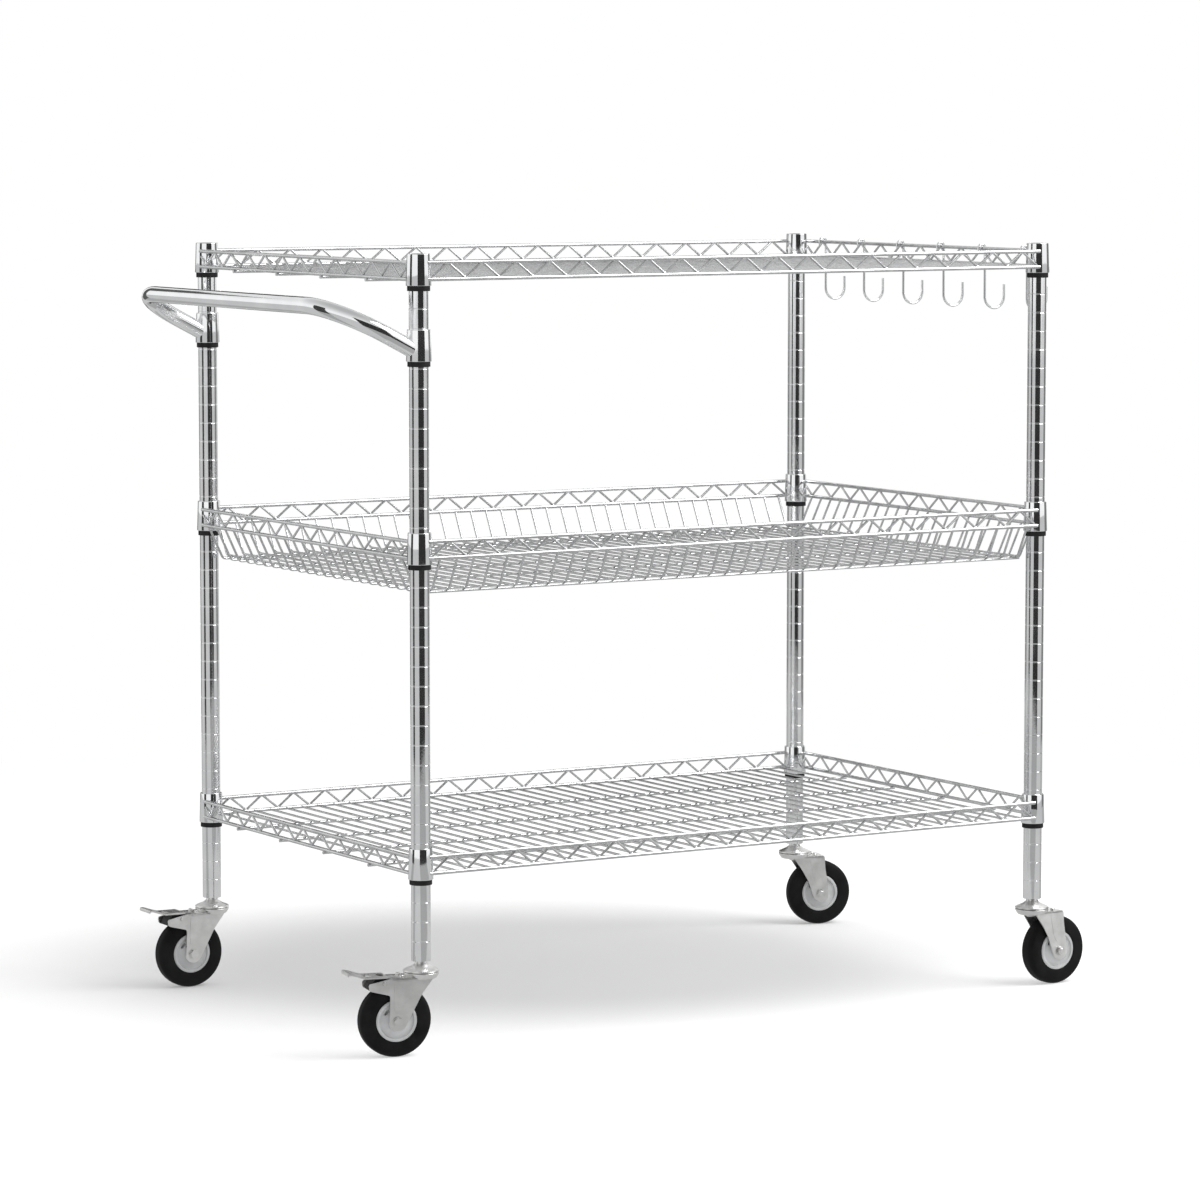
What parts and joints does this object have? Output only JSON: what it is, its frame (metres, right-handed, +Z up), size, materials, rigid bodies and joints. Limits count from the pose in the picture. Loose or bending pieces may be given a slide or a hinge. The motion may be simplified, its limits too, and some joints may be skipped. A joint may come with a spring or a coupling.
{
  "type": "rolling utility cart",
  "caption": "Chrome wire utility cart on swivel casters, with a top and a bottom shelf, a basket shelf, a push handle and hanging hooks.",
  "frame": {"origin": "middle of the whole cart's footprint, on the floor", "axes": "+X along the length from the push handle to the hook end, +Y across the width, +Z up"},
  "size_m": [1.1836, 0.6464, 1.031],
  "materials": {
    "chrome": "bright chrome plate",
    "chrome_wire": "chrome-plated welded wire",
    "zinc": "satin zinc-plated pressed steel",
    "grey_plastic": "moulded grey plastic",
    "black_plastic": "moulded black plastic",
    "tyre": "matt black rubber"
  },
  "bodies": {
    "cart": {"post_front_left": "chrome", "post_cap_front_left": "black_plastic", "sleeve_bottom_front_left": "black_plastic", "sleeve_basket_front_left": "black_plastic", "sleeve_handle_front_left": "black_plastic", "sleeve_top_front_left": "black_plastic", "caster_head_front_left": "zinc", "post_back_left": "chrome", "post_cap_back_left": "black_plastic", "sleeve_bottom_back_left": "black_plastic", "sleeve_basket_back_left": "black_plastic", "sleeve_handle_back_left": "black_plastic", "sleeve_top_back_left": "black_plastic", "caster_head_back_left": "zinc", "post_front_right": "chrome", "post_cap_front_right": "black_plastic", "sleeve_bottom_front_right": "black_plastic", "sleeve_basket_front_right": "black_plastic", "sleeve_top_front_right": "black_plastic", "caster_head_front_right": "zinc", "post_back_right": "chrome", "post_cap_back_right": "black_plastic", "sleeve_bottom_back_right": "black_plastic", "sleeve_basket_back_right": "black_plastic", "sleeve_top_back_right": "black_plastic", "caster_head_back_right": "zinc", "bottom_shelf_rim": "chrome_wire", "basket_shelf_rim": "chrome_wire", "top_shelf_rim": "chrome_wire", "bottom_shelf_deck": "chrome_wire", "bottom_shelf_stiffeners": "chrome_wire", "top_shelf_deck": "chrome_wire", "top_shelf_stiffeners": "chrome_wire", "basket_shelf_basket": "chrome_wire", "push_handle": "chrome"},
    "fork_front_left": {"caster_fork_front_left": "zinc", "wheel_axle_front_left": "zinc"},
    "wheel_front_left": {"wheel_hub_front_left": "grey_plastic", "wheel_tyre_front_left": "tyre"},
    "pedal_front_left": {"brake_pedal_front_left": "zinc"},
    "fork_back_left": {"caster_fork_back_left": "zinc", "wheel_axle_back_left": "zinc"},
    "wheel_back_left": {"wheel_hub_back_left": "grey_plastic", "wheel_tyre_back_left": "tyre"},
    "pedal_back_left": {"brake_pedal_back_left": "zinc"},
    "fork_front_right": {"caster_fork_front_right": "zinc", "wheel_axle_front_right": "zinc"},
    "wheel_front_right": {"wheel_hub_front_right": "grey_plastic", "wheel_tyre_front_right": "tyre"},
    "fork_back_right": {"caster_fork_back_right": "zinc", "wheel_axle_back_right": "zinc"},
    "wheel_back_right": {"wheel_hub_back_right": "grey_plastic", "wheel_tyre_back_right": "tyre"},
    "hook_1": {"utensil_hook_1": "chrome"},
    "hook_2": {"utensil_hook_2": "chrome"},
    "hook_3": {"utensil_hook_3": "chrome"},
    "hook_4": {"utensil_hook_4": "chrome"},
    "hook_5": {"utensil_hook_5": "chrome"},
    "hook_6": {"utensil_hook_6": "chrome"}
  },
  "joints": [
    {"name": "swivel_front_left", "type": "hinge", "parent": "cart", "child": "fork_front_left", "pos_m": [-0.46358, -0.29969, 0.104], "axis": [0, 0, 1], "continuous": true},
    {"name": "roll_front_left", "type": "hinge", "parent": "fork_front_left", "child": "wheel_front_left", "pos_m": [-0.49924, -0.29191, 0.04775], "axis": [-0.213, -0.977, 0], "continuous": true},
    {"name": "brake_front_left", "type": "hinge", "parent": "fork_front_left", "child": "pedal_front_left", "pos_m": [-0.51634, -0.28818, 0.098], "axis": [-0.213, -0.977, 0], "range_deg": [0, 15]},
    {"name": "swivel_back_left", "type": "hinge", "parent": "cart", "child": "fork_back_left", "pos_m": [-0.46358, 0.29931, 0.104], "axis": [0, 0, 1], "continuous": true},
    {"name": "roll_back_left", "type": "hinge", "parent": "fork_back_left", "child": "wheel_back_left", "pos_m": [-0.50006, 0.3004, 0.04775], "axis": [-0.0297, -0.9996, 0], "continuous": true},
    {"name": "brake_back_left", "type": "hinge", "parent": "fork_back_left", "child": "pedal_back_left", "pos_m": [-0.51755, 0.30092, 0.098], "axis": [-0.0297, -0.9996, 0], "range_deg": [0, 15]},
    {"name": "swivel_front_right", "type": "hinge", "parent": "cart", "child": "fork_front_right", "pos_m": [0.50742, -0.29969, 0.104], "axis": [0, 0, 1], "continuous": true},
    {"name": "roll_front_right", "type": "hinge", "parent": "fork_front_right", "child": "wheel_front_right", "pos_m": [0.54392, -0.29911, 0.04775], "axis": [-0.0157, 0.9999, 0], "continuous": true},
    {"name": "swivel_back_right", "type": "hinge", "parent": "cart", "child": "fork_back_right", "pos_m": [0.50742, 0.29931, 0.104], "axis": [0, 0, 1], "continuous": true},
    {"name": "roll_back_right", "type": "hinge", "parent": "fork_back_right", "child": "wheel_back_right", "pos_m": [0.54236, 0.28877, 0.04775], "axis": [0.289, 0.9573, 0], "continuous": true},
    {"name": "hook_swing_1", "type": "hinge", "parent": "cart", "child": "hook_1", "pos_m": [0.52042, -0.25019, 1.02], "axis": [0, 1, 0], "range_deg": [-80, 0]},
    {"name": "hook_swing_2", "type": "hinge", "parent": "cart", "child": "hook_2", "pos_m": [0.52042, -0.15019, 1.02], "axis": [0, 1, 0], "range_deg": [-80, 0]},
    {"name": "hook_swing_3", "type": "hinge", "parent": "cart", "child": "hook_3", "pos_m": [0.52042, -0.05019, 1.02], "axis": [0, 1, 0], "range_deg": [-80, 0]},
    {"name": "hook_swing_4", "type": "hinge", "parent": "cart", "child": "hook_4", "pos_m": [0.52042, 0.04981, 1.02], "axis": [0, 1, 0], "range_deg": [-80, 0]},
    {"name": "hook_swing_5", "type": "hinge", "parent": "cart", "child": "hook_5", "pos_m": [0.52042, 0.14981, 1.02], "axis": [0, 1, 0], "range_deg": [-80, 0]},
    {"name": "hook_swing_6", "type": "hinge", "parent": "cart", "child": "hook_6", "pos_m": [0.52042, 0.24981, 1.02], "axis": [0, 1, 0], "range_deg": [-80, 0]}
  ]
}
